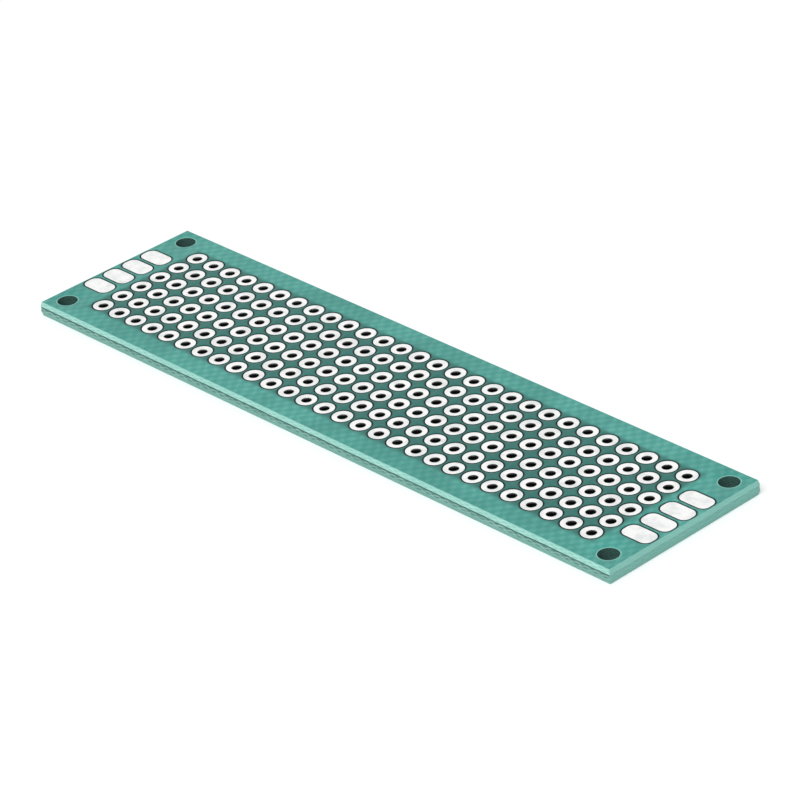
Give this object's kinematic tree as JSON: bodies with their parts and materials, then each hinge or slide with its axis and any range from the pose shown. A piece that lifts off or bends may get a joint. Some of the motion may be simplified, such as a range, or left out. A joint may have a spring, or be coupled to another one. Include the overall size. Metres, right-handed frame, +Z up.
{
  "type": "prototype circuit board",
  "caption": "Narrow double-sided prototype circuit board with a grid of plated solder holes, pads at both ends and a mounting hole in each corner.",
  "frame": {"origin": "under the centre of the board, in the plane of the lowest pads, where it lies on a table", "axes": "+X along the length towards the right end, +Y across towards the back edge, +Z up through the thickness"},
  "size_m": [0.08, 0.02, 0.0016],
  "materials": {
    "glass_fibre": "cut glass fibre laminate, pale and faintly green at the snapped edges",
    "solder_mask": "thin green solder mask, satin, with the glass weave showing faintly through",
    "tinned_copper": "hot-levelled tin over copper, bright and slightly uneven"
  },
  "bodies": {
    "root": {"laminate": "glass_fibre", "solder_mask_top": "solder_mask", "solder_mask_bottom": "solder_mask", "plated_holes_row_1": "tinned_copper", "plated_holes_row_2": "tinned_copper", "plated_holes_row_3": "tinned_copper", "plated_holes_row_4": "tinned_copper", "plated_holes_row_5": "tinned_copper", "plated_holes_row_6": "tinned_copper", "edge_pad_top_left_1": "tinned_copper", "edge_pad_top_left_2": "tinned_copper", "edge_pad_top_left_3": "tinned_copper", "edge_pad_top_left_4": "tinned_copper", "edge_pad_top_right_1": "tinned_copper", "edge_pad_top_right_2": "tinned_copper", "edge_pad_top_right_3": "tinned_copper", "edge_pad_top_right_4": "tinned_copper", "edge_pad_bottom_left_1": "tinned_copper", "edge_pad_bottom_left_2": "tinned_copper", "edge_pad_bottom_left_3": "tinned_copper", "edge_pad_bottom_left_4": "tinned_copper", "edge_pad_bottom_right_1": "tinned_copper", "edge_pad_bottom_right_2": "tinned_copper", "edge_pad_bottom_right_3": "tinned_copper", "edge_pad_bottom_right_4": "tinned_copper"}
  },
  "joints": []
}
